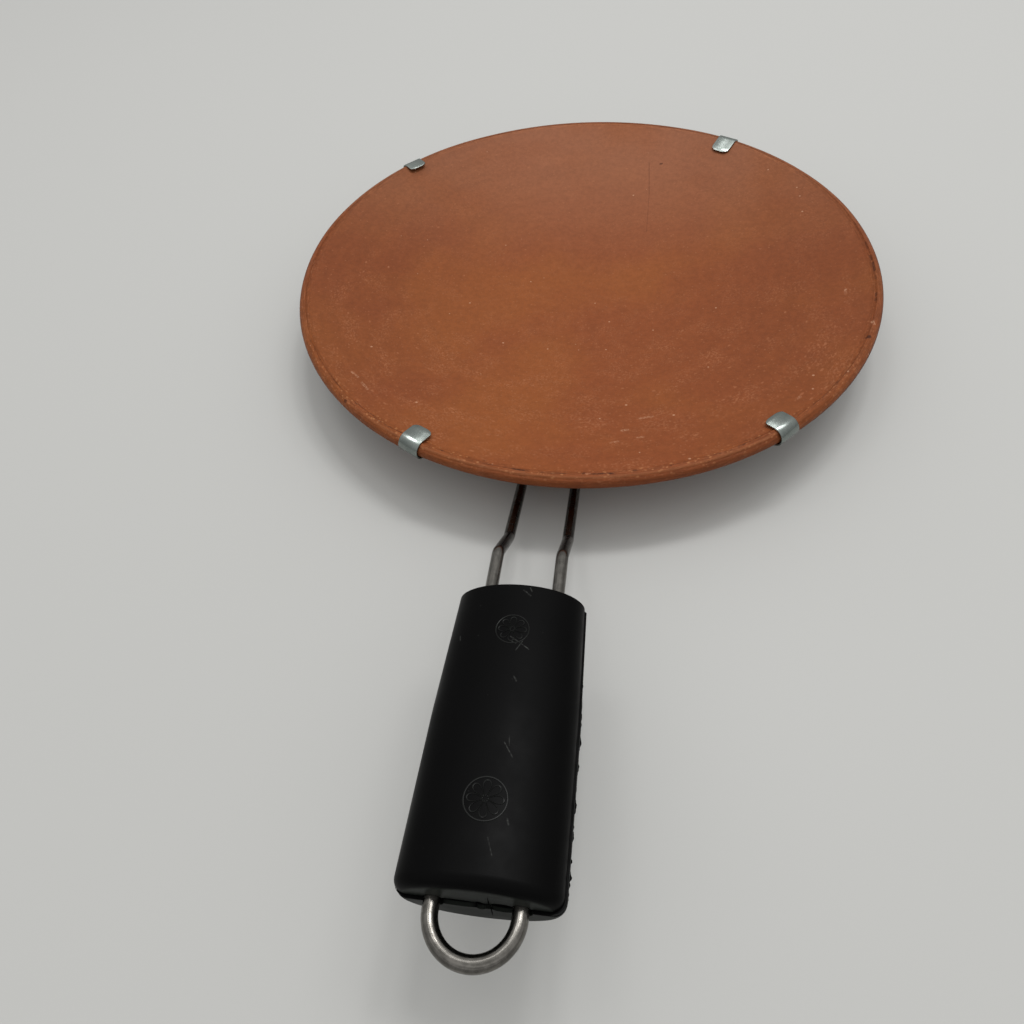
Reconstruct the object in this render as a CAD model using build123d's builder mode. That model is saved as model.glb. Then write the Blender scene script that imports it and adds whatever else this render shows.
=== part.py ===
"""Comal: a shallow clay griddle in a welded holder of two steel straps and one bent wire,
with a two-part moulded grip on the wire.

Millimetres, +Z up. It stands on z = 0. The plate's middle is on x = 0 and the handle points to -Y.
The origin is the middle of the whole outline, on the surface that it stands on.
"""
import os
from math import asin, atan2, cos, degrees, hypot, radians, sin, sqrt, tan

from build123d import *

os.makedirs("parts", exist_ok=True)

# Clay plate
PLATE_R = 125.0
PLATE_HEIGHT = 30.0
PLATE_T = 8.5
RIM_T = 6.6
RIM_BAND = 3.6
RIM_STEP = 0.7
RIM_STEP_RUN = 0.5
FOOT_R = 48.0

# Steel straps: direction of each strap, how far it passes beside the plate's middle,
# and how far each end's tab reaches in over the rim
STRAP_W = 9.0
STRAP_T = 0.6
LOWER_STRAP_ANGLE = 60.2
LOWER_STRAP_OFFSET = 7.2
LOWER_TAB_FRONT = 9.6
LOWER_TAB_REAR = 15.5
UPPER_STRAP_ANGLE = 134.45
UPPER_STRAP_OFFSET = -9.6
UPPER_TAB_FRONT = 8.2
UPPER_TAB_REAR = 11.2
TAB_DIP = 4.0
TAB_CORNER_R = 3.2
CLIP_GAP = 0.5
STRAP_BEND_R = 6.0
STRAP_BEND_GAP = 1.0

# Handle wire
WIRE_D = 4.0
REST_FLAT = 0.3
WELD_SINK = 0.2
LEG_SPACING = 20.6
HANDLE_X = -4.8
LEG_END = 15.0
RUN_SLOPE = 19.4
RUN_BEND_R = 25.0
STEP_TOP_REACH = 157.9
STEP_TOP_Z = 32.6
STEP_FOOT_REACH = 140.7
STEP_FOOT_Z = 16.4
STEP_BEND_R = 5.0
GRIP_TILT = 6.9
LOOP_LEG = 2.1
WIRE_END_CHAMFER = 0.5

# Grip: two moulded shells, measured along the wire from the top of the step
GRIP_START = 19.9
GRIP_L = 84.3
GRIP_MIDDLE = 0.45
GRIP_FRONT_W = 37.6
GRIP_MIDDLE_W = 39.6
GRIP_BUTT_W = 40.0
GRIP_HALF_H = 10.2
GRIP_WALL = 2.4
GRIP_END_WALL = 3.0
GRIP_BUTT_R = 3.2
GRIP_FRONT_CHAMFER = 0.5
PARTING_GAP = 0.3
LOWER_SHIFT_X = 0.6
LOWER_SHIFT_ALONG = 0.8
WIRE_CLEARANCE = 0.15
SADDLE_T = 2.4
SADDLE_PLACES = (28.0, 52.0)
SLIT_H = 1.0

# Screws, from below, under the two rosettes
SCREW_PLACES = (16.4, 64.4)
SCREW_D = 3.0
SCREW_HEAD_D = 5.6
SCREW_HEAD_T = 2.0
SCREW_RECESS = 2.0
SCREW_BITE = 5.0
SCREW_CLEARANCE = 0.05
SCREW_TIP_ROOM = 1.0
SCREW_HOLE_D = 3.5
SCREW_RECESS_D = 6.2
SCREW_CROSS_L = 3.4
SCREW_CROSS_W = 0.75
SCREW_CROSS_DEPTH = 1.2
POST_D = 8.6

# Levels of the holder, from the surface up
wire_r = WIRE_D / 2
run_z = wire_r - REST_FLAT
seat_z = run_z + wire_r - WELD_SINK
lower_strap_z = seat_z + STRAP_T / 2
upper_strap_z = lower_strap_z + STRAP_T
foot_z = upper_strap_z + STRAP_T / 2

# Where the wire's straight upper run ends, and the reach of the loop
tilt = radians(GRIP_TILT)
grip_end = GRIP_START + GRIP_L
loop_r = LEG_SPACING / 2
loop_centre = grip_end + LOOP_LEG
handle_reach = STEP_TOP_REACH + (loop_centre + loop_r) * cos(tilt) + wire_r
PLATE_Y = (handle_reach - PLATE_R) / 2


def tangent_slope(start_r, start_z, centre_r, centre_z, radius):
    """Slope in degrees of the line from a point that touches the underside of a circle."""
    away = hypot(centre_r - start_r, centre_z - start_z)
    return degrees(atan2(centre_z - start_z, centre_r - start_r) - asin(radius / away))


def on_slope(start_r, start_z, centre_r, centre_z, slope):
    """The point of that line that is nearest to the circle's centre."""
    ux, uz = cos(radians(slope)), sin(radians(slope))
    run = (centre_r - start_r) * ux + (centre_z - start_z) * uz
    return start_r + run * ux, start_z + run * uz


# Clay plate: a dished disc turned about the plate's axis. Its underside is a flat foot and a
# straight flank, and its round edge stands a small step above the dish.
rim_r = RIM_T / 2
rim_centre = (PLATE_R - rim_r, PLATE_HEIGHT - rim_r)
flank_slope = tangent_slope(FOOT_R, foot_z, *rim_centre, rim_r)
flank_end = on_slope(FOOT_R, foot_z, *rim_centre, flank_slope)
rim_side = (PLATE_R, rim_centre[1])
dish_r = PLATE_R - RIM_BAND
rim_inside_r = dish_r + RIM_STEP_RUN
rim_inside = (rim_inside_r, rim_centre[1] + sqrt(rim_r**2 - (rim_centre[0] - rim_inside_r) ** 2))
dish_edge = (dish_r, PLATE_HEIGHT - RIM_STEP)
dish_floor_z = foot_z + PLATE_T
dish_depth = dish_edge[1] - dish_floor_z
dish_radius = (dish_r**2 + dish_depth**2) / (2 * dish_depth)


def dish_z(radius):
    """Height of the cooking surface at a distance from the plate's middle."""
    return dish_floor_z + dish_radius - sqrt(dish_radius**2 - radius**2)


plate_plane = Plane(origin=(0, PLATE_Y, 0), x_dir=(1, 0, 0), z_dir=(0, -1, 0))
with BuildPart() as clay_plate:
    with BuildSketch(plate_plane):
        with BuildLine():
            Line((0, foot_z), (FOOT_R, foot_z))
            Line((FOOT_R, foot_z), flank_end)
            ThreePointArc(flank_end, rim_side, rim_inside)
            Line(rim_inside, dish_edge)
            ThreePointArc(dish_edge, (dish_r / 2, dish_z(dish_r / 2)), (0, dish_floor_z))
            Line((0, dish_floor_z), (0, foot_z))
        make_face()
    revolve(axis=Axis((0, PLATE_Y, 0), (0, 0, 1)))


# Straps: each is one strip, flat under the foot, that follows the flank up, turns round the rim
# and ends in a tab over it.
def strap_half(strap_z, offset, tab):
    """One half of a strap's centre line, from the middle out, as points and the rim bend."""
    centre_u = sqrt(rim_centre[0] ** 2 - offset**2)
    centre_z = rim_centre[1]
    bend_r = rim_r + CLIP_GAP + STRAP_T / 2
    corner = (FOOT_R + STRAP_BEND_GAP, strap_z)
    slope = tangent_slope(*corner, centre_u, centre_z, bend_r)
    flank_top = on_slope(*corner, centre_u, centre_z, slope)
    turn = 180 - slope + TAB_DIP
    dip = radians(TAB_DIP)
    bend_top = (centre_u - bend_r * sin(dip), centre_z + bend_r * cos(dip))
    tab_run = tab - (sqrt(PLATE_R**2 - offset**2) - centre_u)
    tab_end = (bend_top[0] - tab_run * cos(dip), bend_top[1] - tab_run * sin(dip))
    return corner, flank_top, (centre_u, centre_z), bend_r, slope, turn, bend_top, tab_end


def make_strap(angle, offset, strap_z, front_tab, rear_tab):
    """A strap in the upright plane that its centre line lies in."""
    along = Vector(cos(radians(angle)), sin(radians(angle)), 0)
    aside = Vector(sin(radians(angle)), -cos(radians(angle)), 0)
    plane = Plane(origin=Vector(0, PLATE_Y, 0) + aside * offset, x_dir=along, z_dir=aside)
    rear = strap_half(strap_z, offset, rear_tab)
    front = strap_half(strap_z, offset, front_tab)
    with BuildPart() as strap:
        with BuildLine(plane) as path:
            r_corner, r_flank, r_centre, r_bend, r_slope, r_turn, r_top, r_end = rear
            f_corner, f_flank, f_centre, f_bend, f_slope, f_turn, f_top, f_end = front
            Line((-f_end[0], f_end[1]), (-f_top[0], f_top[1]))
            CenterArc((-f_centre[0], f_centre[1]), f_bend, 90 - TAB_DIP, f_turn)
            FilletPolyline(
                (-f_flank[0], f_flank[1]),
                (-f_corner[0], f_corner[1]),
                r_corner,
                r_flank,
                radius=STRAP_BEND_R,
            )
            CenterArc(r_centre, r_bend, r_slope - 90, r_turn)
            Line(r_top, r_end)
        with BuildSketch(Plane(origin=path.line @ 0, x_dir=aside, z_dir=path.line % 0)):
            Rectangle(STRAP_W, STRAP_T)
        sweep()
        tab_corners = strap.edges().filter_by(lambda edge: abs(edge.length - STRAP_T) < 0.01)
        fillet(tab_corners, radius=TAB_CORNER_R)
    return strap


cross_strap_lower = make_strap(
    LOWER_STRAP_ANGLE, LOWER_STRAP_OFFSET, lower_strap_z, LOWER_TAB_FRONT, LOWER_TAB_REAR
)
cross_strap_upper = make_strap(
    UPPER_STRAP_ANGLE, UPPER_STRAP_OFFSET, upper_strap_z, UPPER_TAB_FRONT, UPPER_TAB_REAR
)


# Handle wire: one round wire from the end of one leg to the end of the other
def reach_point(x, reach, z):
    """A point at a distance from the plate's middle, towards the handle."""
    return Vector(x, PLATE_Y - reach, z)


def wire_point(x, along, height=0.0):
    """A point measured along the wire from the top of the step, and square to it."""
    reach = STEP_TOP_REACH + along * cos(tilt) - height * sin(tilt)
    return reach_point(x, reach, STEP_TOP_Z + along * sin(tilt) + height * cos(tilt))


run_end_reach = STEP_FOOT_REACH - (STEP_FOOT_Z - run_z) / tan(radians(RUN_SLOPE))


def leg_points(x):
    """A leg's corners, from its end under the plate to the start of the loop."""
    return [
        reach_point(x, -LEG_END, run_z),
        reach_point(x, run_end_reach, run_z),
        reach_point(x, STEP_FOOT_REACH, STEP_FOOT_Z),
        reach_point(x, STEP_TOP_REACH, STEP_TOP_Z),
        wire_point(x, loop_centre),
    ]


leg_radii = [RUN_BEND_R, STEP_BEND_R, STEP_BEND_R]
left_x = HANDLE_X - loop_r
right_x = HANDLE_X + loop_r
with BuildPart() as handle_wire:
    with BuildLine() as wire_path:
        FilletPolyline(*leg_points(left_x), radius=leg_radii)
        ThreePointArc(
            wire_point(left_x, loop_centre),
            wire_point(HANDLE_X, loop_centre + loop_r),
            wire_point(right_x, loop_centre),
        )
        FilletPolyline(*reversed(leg_points(right_x)), radius=leg_radii[::-1])
    with BuildSketch(Plane(origin=wire_path.line @ 0, z_dir=wire_path.line % 0)):
        Circle(wire_r)
    sweep()
    wire_ends = handle_wire.faces().filter_by(GeomType.PLANE)
    chamfer(wire_ends.edges(), length=WIRE_END_CHAMFER)
    split(bisect_by=Plane.XY, keep=Keep.TOP)
    with BuildSketch(Plane.XY.offset(seat_z)):
        with Locations((
            LOWER_STRAP_OFFSET * sin(radians(LOWER_STRAP_ANGLE)),
            PLATE_Y - LOWER_STRAP_OFFSET * cos(radians(LOWER_STRAP_ANGLE)),
        )):
            Rectangle(2 * (FOOT_R + STRAP_W), STRAP_W, rotation=LOWER_STRAP_ANGLE)
    extrude(amount=WIRE_D, mode=Mode.SUBTRACT)

# Grip: the two shells are the same moulding turned over, and the lower one sits a little askew
grip_x = Vector(1, 0, 0)
grip_axis = Vector(0, -cos(tilt), sin(tilt))


def grip_plane(along, shift_x=0.0):
    """A plane square to the wire, with its local y up and square to the wire too."""
    return Plane(origin=wire_point(HANDLE_X + shift_x, along), x_dir=grip_x, z_dir=grip_axis)


def half_section(plane, width, height, side, base):
    """Half an ellipse on the parting line, above it for side 1 and below it for side -1."""
    with BuildSketch(plane) as half:
        Ellipse(width / 2, height)
        with Locations((0, side * (base + height))):
            Rectangle(width * 2, 2 * height, mode=Mode.INTERSECT)
    return half.sketch


def width_at(share):
    """Outer width of the grip at a share of its length."""
    if share < GRIP_MIDDLE:
        return GRIP_FRONT_W + (GRIP_MIDDLE_W - GRIP_FRONT_W) * share / GRIP_MIDDLE
    return GRIP_MIDDLE_W + (GRIP_BUTT_W - GRIP_MIDDLE_W) * (share - GRIP_MIDDLE) / (1 - GRIP_MIDDLE)


def grip_sections(side, base, start, shift_x, inset, end_inset):
    """Three sections of a shell, from the front to the butt, drawn in by a wall's thickness."""
    sections = []
    for share in (0, GRIP_MIDDLE, 1):
        run = end_inset + share * (GRIP_L - 2 * end_inset)
        width = width_at(run / GRIP_L) - 2 * inset
        sections.append(
            half_section(grip_plane(start + run, shift_x), width, GRIP_HALF_H - inset, side, base)
        )
    return sections


def make_grip(side, shift_x, shift_along, holes):
    """One shell of the grip: dome, cavity, saddles for the wire and posts for the screws.

    Each hole of a post is a diameter, the height where it starts and its depth, going outwards.
    """
    start = GRIP_START + shift_along
    base = PARTING_GAP / 2
    with BuildPart() as shell:
        loft(sections=grip_sections(side, base, start, shift_x, 0, 0), ruled=True)
        ends = shell.faces().sort_by(Axis(wire_point(0, 0), grip_axis))
        fillet(ends[-1].edges().sort_by(SortBy.LENGTH)[-1], radius=GRIP_BUTT_R)
        ends = shell.faces().sort_by(Axis(wire_point(0, 0), grip_axis))
        chamfer(ends[0].edges().sort_by(SortBy.LENGTH)[-1], length=GRIP_FRONT_CHAMFER)
        cavity = grip_sections(side, base, start, shift_x, GRIP_WALL, GRIP_END_WALL)
        loft(sections=cavity, ruled=True, mode=Mode.SUBTRACT)
        for place in SADDLE_PLACES:
            plane = grip_plane(GRIP_START + place, shift_x)
            width = width_at(place / GRIP_L) - GRIP_WALL
            rib = half_section(plane, width, GRIP_HALF_H - GRIP_WALL / 2, side, base)
            extrude(rib, amount=SADDLE_T)
        for place in SCREW_PLACES:
            with BuildSketch(post_plane(place, side, base)):
                Circle(POST_D / 2)
            extrude(amount=GRIP_HALF_H - GRIP_WALL / 2 - base)
            for diameter, height, depth in holes:
                with BuildSketch(post_plane(place, side, height)):
                    Circle(diameter / 2)
                extrude(amount=depth, mode=Mode.SUBTRACT)
        with BuildSketch(grip_plane(GRIP_START - GRIP_END_WALL)):
            with Locations((-loop_r, 0), (loop_r, 0)):
                Circle(wire_r + WIRE_CLEARANCE)
        extrude(amount=GRIP_L + 3 * GRIP_END_WALL, mode=Mode.SUBTRACT)
        with BuildSketch(grip_plane(grip_end - 2 * GRIP_END_WALL)):
            Rectangle(LEG_SPACING, SLIT_H)
        extrude(amount=3 * GRIP_END_WALL, mode=Mode.SUBTRACT)
    return shell


def post_plane(place, side, height):
    """A plane square to the parting line at a screw, facing away from it."""
    across = Vector(0, sin(tilt), cos(tilt)) * side
    return Plane(origin=wire_point(HANDLE_X, GRIP_START + place, side * height), x_dir=grip_x, z_dir=across)


head_seat = GRIP_HALF_H - SCREW_RECESS - SCREW_HEAD_T
pilot_hole = (SCREW_D + 2 * SCREW_CLEARANCE, 0.0, SCREW_BITE + SCREW_TIP_ROOM)
clear_hole = (SCREW_HOLE_D, 0.0, head_seat)
recess = (SCREW_RECESS_D, head_seat, GRIP_HALF_H)
grip_upper = make_grip(1, 0.0, 0.0, [pilot_hole])
grip_lower = make_grip(-1, LOWER_SHIFT_X, LOWER_SHIFT_ALONG, [clear_hole, recess])

# Screws: pan heads with a cross recess, seated in the lower shell's recesses
with BuildPart() as grip_screws:
    for place in SCREW_PLACES:
        with BuildSketch(post_plane(place, -1, head_seat)):
            Circle(SCREW_HEAD_D / 2)
        extrude(amount=SCREW_HEAD_T)
        with BuildSketch(post_plane(place, -1, head_seat)):
            Circle(SCREW_D / 2)
        extrude(amount=-(head_seat + SCREW_BITE))
        with BuildSketch(post_plane(place, -1, head_seat + SCREW_HEAD_T)):
            Rectangle(SCREW_CROSS_L, SCREW_CROSS_W)
            Rectangle(SCREW_CROSS_W, SCREW_CROSS_L)
        extrude(amount=-SCREW_CROSS_DEPTH, mode=Mode.SUBTRACT)

pieces = {
    "clay_plate": clay_plate,
    "cross_strap_lower": cross_strap_lower,
    "cross_strap_upper": cross_strap_upper,
    "handle_wire": handle_wire,
    "grip_upper": grip_upper,
    "grip_lower": grip_lower,
    "grip_screws": grip_screws,
}
for name, piece in pieces.items():
    piece.part.label = name
    export_step(piece.part, f"parts/{name}.step")
    print(name, "solids", len(piece.part.solids()), "volume", round(piece.part.volume, 1))
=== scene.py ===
# %% [markdown]
# # A clay comal in a wire and strap holder
#
# A comal is the griddle on which tortillas are baked. This one is a shallow dish of unglazed red
# clay, held by two thin steel straps that fold over its rim. The straps are spot welded to one
# bent wire, and two moulded shells on the wire make the grip.
#
# The construction, at its real size, is loaded first and never moved. Every piece made below
# stands for one of its nodes or sits on one, in the same place and in metres.

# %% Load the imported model
import math

import bmesh
import bpy
from mathutils import Matrix, Vector, noise


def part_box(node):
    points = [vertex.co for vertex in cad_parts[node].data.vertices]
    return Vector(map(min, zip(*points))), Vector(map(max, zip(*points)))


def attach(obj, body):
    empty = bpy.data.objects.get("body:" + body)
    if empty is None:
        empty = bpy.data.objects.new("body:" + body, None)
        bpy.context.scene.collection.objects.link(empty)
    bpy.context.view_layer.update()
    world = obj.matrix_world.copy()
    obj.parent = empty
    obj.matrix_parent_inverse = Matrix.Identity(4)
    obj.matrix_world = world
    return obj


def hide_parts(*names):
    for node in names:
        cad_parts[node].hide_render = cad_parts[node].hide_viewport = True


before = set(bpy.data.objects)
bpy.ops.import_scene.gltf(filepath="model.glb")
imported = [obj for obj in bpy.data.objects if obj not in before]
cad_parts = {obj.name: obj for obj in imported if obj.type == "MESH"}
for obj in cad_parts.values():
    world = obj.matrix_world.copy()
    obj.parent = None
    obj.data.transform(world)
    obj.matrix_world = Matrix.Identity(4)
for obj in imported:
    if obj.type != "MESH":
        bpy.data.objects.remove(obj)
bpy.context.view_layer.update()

# %% [markdown]
# Lengths are written in millimetres and multiplied by MM where they are used, so that they can
# be compared with a ruler. The plate's middle and the level of its rim come from the frame.

# %% Where the plate is
MM = 0.001
plate_low, plate_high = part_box("clay_plate")
PLATE_MIDDLE = (plate_low + plate_high) / 2
PLATE_R = (plate_high.x - plate_low.x) / 2 / MM
RIM_MIDDLE = Vector((PLATE_MIDDLE.x, PLATE_MIDDLE.y, plate_high.z))


# %% Objects and turns
def add_object(name, data):
    """An object with its data, linked into the scene."""
    made = bpy.data.objects.new(name, data)
    bpy.context.scene.collection.objects.link(made)
    return made


def mesh_object(name, mesh):
    """An object from a finished bmesh, which is used up."""
    bmesh.ops.recalc_face_normals(mesh, faces=mesh.faces)
    data = bpy.data.meshes.new(name)
    mesh.to_mesh(data)
    mesh.free()
    return add_object(name, data)


def rotation(degrees, axis, size=4):
    """A turn about one of the three axes, as a matrix."""
    return Matrix.Rotation(math.radians(degrees), size, axis)


# %% [markdown]
# ## Node trees
#
# A finish is a small net of shader nodes, and so is the light of the room. A net gets one short
# call for each kind of node that is used here. Every value in it may be a number, a vector or a
# colour, or the socket of another node.

# %% Nets of nodes
class Net:
    """A node tree, with a short way to add each kind of node."""

    def __init__(self, tree):
        self.tree = tree

    def fill(self, node, feeds):
        """Set a node's inputs to plain values, or link them to other sockets."""
        for name, value in feeds.items():
            if isinstance(value, bpy.types.NodeSocket):
                self.tree.links.new(value, node.inputs[name])
            else:
                node.inputs[name].default_value = value

    def add(self, kind, feeds=None, **settings):
        """A new node with its settings and its inputs filled."""
        made = self.tree.nodes.new("ShaderNode" + kind)
        for name, value in settings.items():
            setattr(made, name, value)
        self.fill(made, feeds or {})
        return made

    def calculate(self, operation, first, second=0.0, clamp=False):
        """The result of a Math node."""
        return self.add("Math", {0: first, 1: second}, operation=operation, use_clamp=clamp).outputs[0]

    def times(self, first, *others):
        """The product of two or more values."""
        for other in others:
            first = self.calculate("MULTIPLY", first, other)
        return first

    def plus(self, first, second):
        """The sum of two values."""
        return self.calculate("ADD", first, second)

    def minus(self, first, second):
        """What is left of the first value without the second."""
        return self.calculate("SUBTRACT", first, second)

    def vector(self, operation, first, second=(0, 0, 0), scale=None):
        """The result of a Vector Math node, which is a number for a length or a dot product."""
        feeds = {0: first, 1: second} if scale is None else {0: first, "Scale": scale}
        made = self.add("VectorMath", feeds, operation=operation)
        return made.outputs["Value" if operation in ("LENGTH", "DOT_PRODUCT") else "Vector"]

    def part_of(self, vector, axis):
        """A vector's X, Y or Z."""
        return self.add("SeparateXYZ", {"Vector": vector}).outputs[axis]

    def remap(self, value, low, high, to_low=0.0, to_high=1.0, ease="SMOOTHSTEP"):
        """The range from low to high laid on another range, and held inside it."""
        feeds = {"Value": value, "From Min": low, "From Max": high, "To Min": to_low, "To Max": to_high}
        return self.add("MapRange", feeds, interpolation_type=ease).outputs["Result"]

    def blend(self, share, first, second):
        """A mix of two colours, the second one as much as share says."""
        return self.add("Mix", {0: share, 6: first, 7: second}, data_type="RGBA").outputs[2]

    def attribute(self, name):
        """A number that the mesh carries at its vertices."""
        return self.add("Attribute", attribute_name=name).outputs["Fac"]


class Finish(Net):
    """A material, with its Principled shader and the coordinates of the piece that has it."""

    def __init__(self, name):
        self.material = bpy.data.materials.new(name)
        self.material.use_nodes = True
        super().__init__(self.material.node_tree)
        self.place = self.add("TexCoord").outputs["Object"]

    def surface(self, feeds):
        """Fill inputs of the Principled shader."""
        self.fill(self.tree.nodes["Principled BSDF"], feeds)

    def bump(self, height, strength, distance):
        """Raise the surface by a height between 0 and 1, as far as a distance in millimetres."""
        feeds = {"Height": height, "Strength": strength, "Distance": distance * MM}
        self.surface({"Normal": self.add("Bump", feeds).outputs["Normal"]})

    def put_on(self, *pieces):
        """Give pieces this finish and no other."""
        for piece in pieces:
            piece.data.materials.clear()
            piece.data.materials.append(self.material)


def screen(*levels):
    """A colour given as screen values from 0 to 255, as the linear light that a shader wants."""
    shares = (level / 255 for level in levels)
    linear = (share / 12.92 if share <= 0.04045 else ((share + 0.055) / 1.055) ** 2.4 for share in shares)
    return (*linear, 1)


# %% [markdown]
# ## The camera
#
# The picture was taken from close above the handle with a short lens, which is why the grip looks
# so large beside the plate. A camera fitted to the rim's outline gives the place below, counted
# from the rim's middle. The roll is kept too, so the handle leans as it does in the picture.

# %% Camera
CAMERA_FROM_RIM = Vector((21.65, -291.58, 207.23)) * MM
CAMERA_AZIMUTH = 12.91
CAMERA_ELEVATION = 53.05
CAMERA_ROLL = 7.13
LENS_MM = 27.04
SENSOR_MM = 36

camera_data = bpy.data.cameras.new("camera")
camera_data.lens = LENS_MM
camera_data.sensor_width = SENSOR_MM
camera_data.clip_start = 10 * MM
camera = add_object("camera", camera_data)
# Swing round the object, look down, then roll about the view
aim = rotation(CAMERA_AZIMUTH, "Z") @ rotation(90 - CAMERA_ELEVATION, "X") @ rotation(-CAMERA_ROLL, "Z")
camera.matrix_world = Matrix.Translation(RIM_MIDDLE + CAMERA_FROM_RIM) @ aim
bpy.context.scene.camera = camera

# %% [markdown]
# ## Light
#
# The room has several ceiling lamps a little behind the object, which throw a few soft shadows
# towards the viewer, one over the other. Four square lamps do the same. The world adds the even
# light of the white room, and its upper half is what the steel and the plastic mirror.
#
# The bright sheet of the straps also mirrors two bright places in the room. Each is a lamp that
# lights the straps only, because on the clay it would be a pale haze.

# %% Lamps
LAMP_DISTANCE = 1600 * MM
# Each lamp's direction from the rim's middle, its side, and its power in watts
LAMPS = {
    "lamp_ahead": ((0.04, 0.30, 0.95), 220 * MM, 3.6),
    "lamp_beside": ((0.22, 0.30, 0.92), 220 * MM, 3.4),
    "lamp_right": ((0.42, 0.25, 0.87), 420 * MM, 2.4),
    "lamp_left": ((-0.30, 0.20, 0.93), 420 * MM, 1.8),
}
REFLECTIONS = {
    "reflection_ahead": ((-0.07, 0.585, 0.807), 280 * MM, 1.1),
    "reflection_left": ((-0.46, 0.26, 0.85), 540 * MM, 9.0),
}


def add_lamp(name, direction, size, watts):
    """A square lamp that faces the rim's middle."""
    data = bpy.data.lights.new(name, "AREA")
    data.size = size
    data.energy = watts
    lamp = add_object(name, data)
    towards = Vector(direction).normalized()
    place = RIM_MIDDLE + towards * LAMP_DISTANCE
    lamp.matrix_world = Matrix.Translation(place) @ towards.to_track_quat("Z", "Y").to_matrix().to_4x4()
    return lamp


for lamp_name, lamp_values in LAMPS.items():
    add_lamp(lamp_name, *lamp_values)
straps_only = bpy.data.collections.new("straps_only")
for lamp_name, lamp_values in REFLECTIONS.items():
    add_lamp(lamp_name, *lamp_values).light_linking.receiver_collection = straps_only

# %% [markdown]
# The room is brightest overhead and darker at eye level. The world's strength follows the height
# of the direction it is seen in, which keeps the sides of the black grip dark.

# %% The room
OVERHEAD_LEVEL = 0.84
OVERHEAD_FROM = 0.9
EYE_LEVEL = 0.31
ROOM_WHITE = (1.0, 1.0, 0.99, 1)

world = bpy.data.worlds.new("white_room")
world.use_nodes = True
bpy.context.scene.world = world
bpy.context.scene.view_settings.view_transform = "Standard"
room = Net(world.node_tree)
upward = room.part_of(room.add("TexCoord").outputs["Generated"], "Z")
level = room.remap(upward, 0, OVERHEAD_FROM, EYE_LEVEL, OVERHEAD_LEVEL, ease="LINEAR")
room.fill(room.tree.nodes["Background"], {"Color": ROOM_WHITE, "Strength": level})

# %% [markdown]
# ## The table
#
# A plain pale sheet at the level of the wire's underside. It is not part of the object.

# %% Table
TABLE_SIZE = 6000 * MM
TABLE_GREY = (0.53, 0.53, 0.515, 1)

table_mesh = bmesh.new()
bmesh.ops.create_grid(table_mesh, x_segments=1, y_segments=1, size=TABLE_SIZE / 2)
table = mesh_object("table", table_mesh)
table_paint = Finish("table_paint")
table_paint.surface({"Base Color": TABLE_GREY, "Roughness": 0.4, "Specular IOR Level": 0.08})
table_paint.put_on(table)

# %% [markdown]
# ## Drawing with sections
#
# Every piece of this comal was made by carrying a section along a path: the plate's profile was
# turned on a wheel, the straps and the wire were bent straight from the roll, and the shells are
# one arch that grows a little wider. The spin operator does all of it. With an angle it bends a
# section about an axis, and with a shift and no angle it carries it straight on. Both give the
# section's new end, so that a path is written one run and one bend after the other.

# %% Runs and bends
def spin(mesh, section, steps, centre=(0, 0, 0), axis=(0, 0, 1), angle=0, shift=(0, 0, 0)):
    """Carry a section along in steps, and give the vertices and edges of its new end."""
    step = bmesh.ops.spin(mesh, geom=section, cent=centre, axis=axis, angle=angle, dvec=shift, steps=steps)
    return [part for part in step["geom_last"] if not isinstance(part, bmesh.types.BMFace)]


def run(mesh, section, shift, steps=1):
    """Carry a section straight on by a shift."""
    return spin(mesh, section, steps, shift=Vector(shift) / steps)


def bend(mesh, section, centre, axis, degrees, steps):
    """Bend a section about an axis through a centre."""
    return spin(mesh, section, steps, centre, axis, math.radians(degrees))


def follow(mesh, section, here, corners, radii, bend_steps):
    """Carry a section along straight runs, with an arc at each corner but the last point."""
    for corner, radius, after in zip(corners, radii, corners[1:]):
        into = (corner - here).normalized()
        out = (after - corner).normalized()
        turned = into.angle(out)
        tangent = radius * math.tan(turned / 2)
        arc_start = corner - into * tangent
        axis = into.cross(out).normalized()
        section = run(mesh, section, arc_start - here)
        centre = arc_start + axis.cross(into) * radius
        section = bend(mesh, section, centre, axis, math.degrees(turned), bend_steps)
        here = corner + out * tangent
    return run(mesh, section, corners[-1] - here)


def vertices_of(section):
    """The vertices of a section."""
    return [part for part in section if isinstance(part, bmesh.types.BMVert)]


def edges_of(section):
    """The edges of a section."""
    return [part for part in section if isinstance(part, bmesh.types.BMEdge)]


# %% [markdown]
# A finished bmesh becomes an object here. It stays at the origin with its place in its mesh,
# and rides with the holder.

# %% From mesh to piece
def make_piece(name, mesh, replaced=None, smooth_up_to=35):
    """Turn a bmesh into a piece of the comal, in place of a node of the frame if one is named."""
    for face in mesh.faces:
        face.smooth = True
    piece = mesh_object(name, mesh)
    piece.data.set_sharp_from_angle(angle=math.radians(smooth_up_to))
    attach(piece, "root")
    if replaced:
        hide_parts(replaced)
    print(name, "has", len(piece.data.polygons), "faces")
    return piece


def thicken(piece, thickness):
    """Give a piece that is drawn as a bare sheet its thickness, half of it to each side."""
    sheet = piece.modifiers.new("sheet", "SOLIDIFY")
    sheet.thickness = thickness * MM
    sheet.offset = 0


# %% [markdown]
# ## The plate's profile
#
# The plate was pressed or turned from soft clay and then fired, so it is round but never exactly.
# A true disc would give that away at its rim. The profile is drawn from the measures first: a flat
# foot, a straight flank, a rim as thick as a pencil, and a dish that is part of a large ball.

# %% Measures of the plate
FOOT_R = 48
FOOT_SOFT_R = 20
PLATE_T = 8.5
RIM_T = 6.6
RIM_BAND = 3.6
RIM_STEP = 0.7
RIM_STEP_RUN = 0.5

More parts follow.
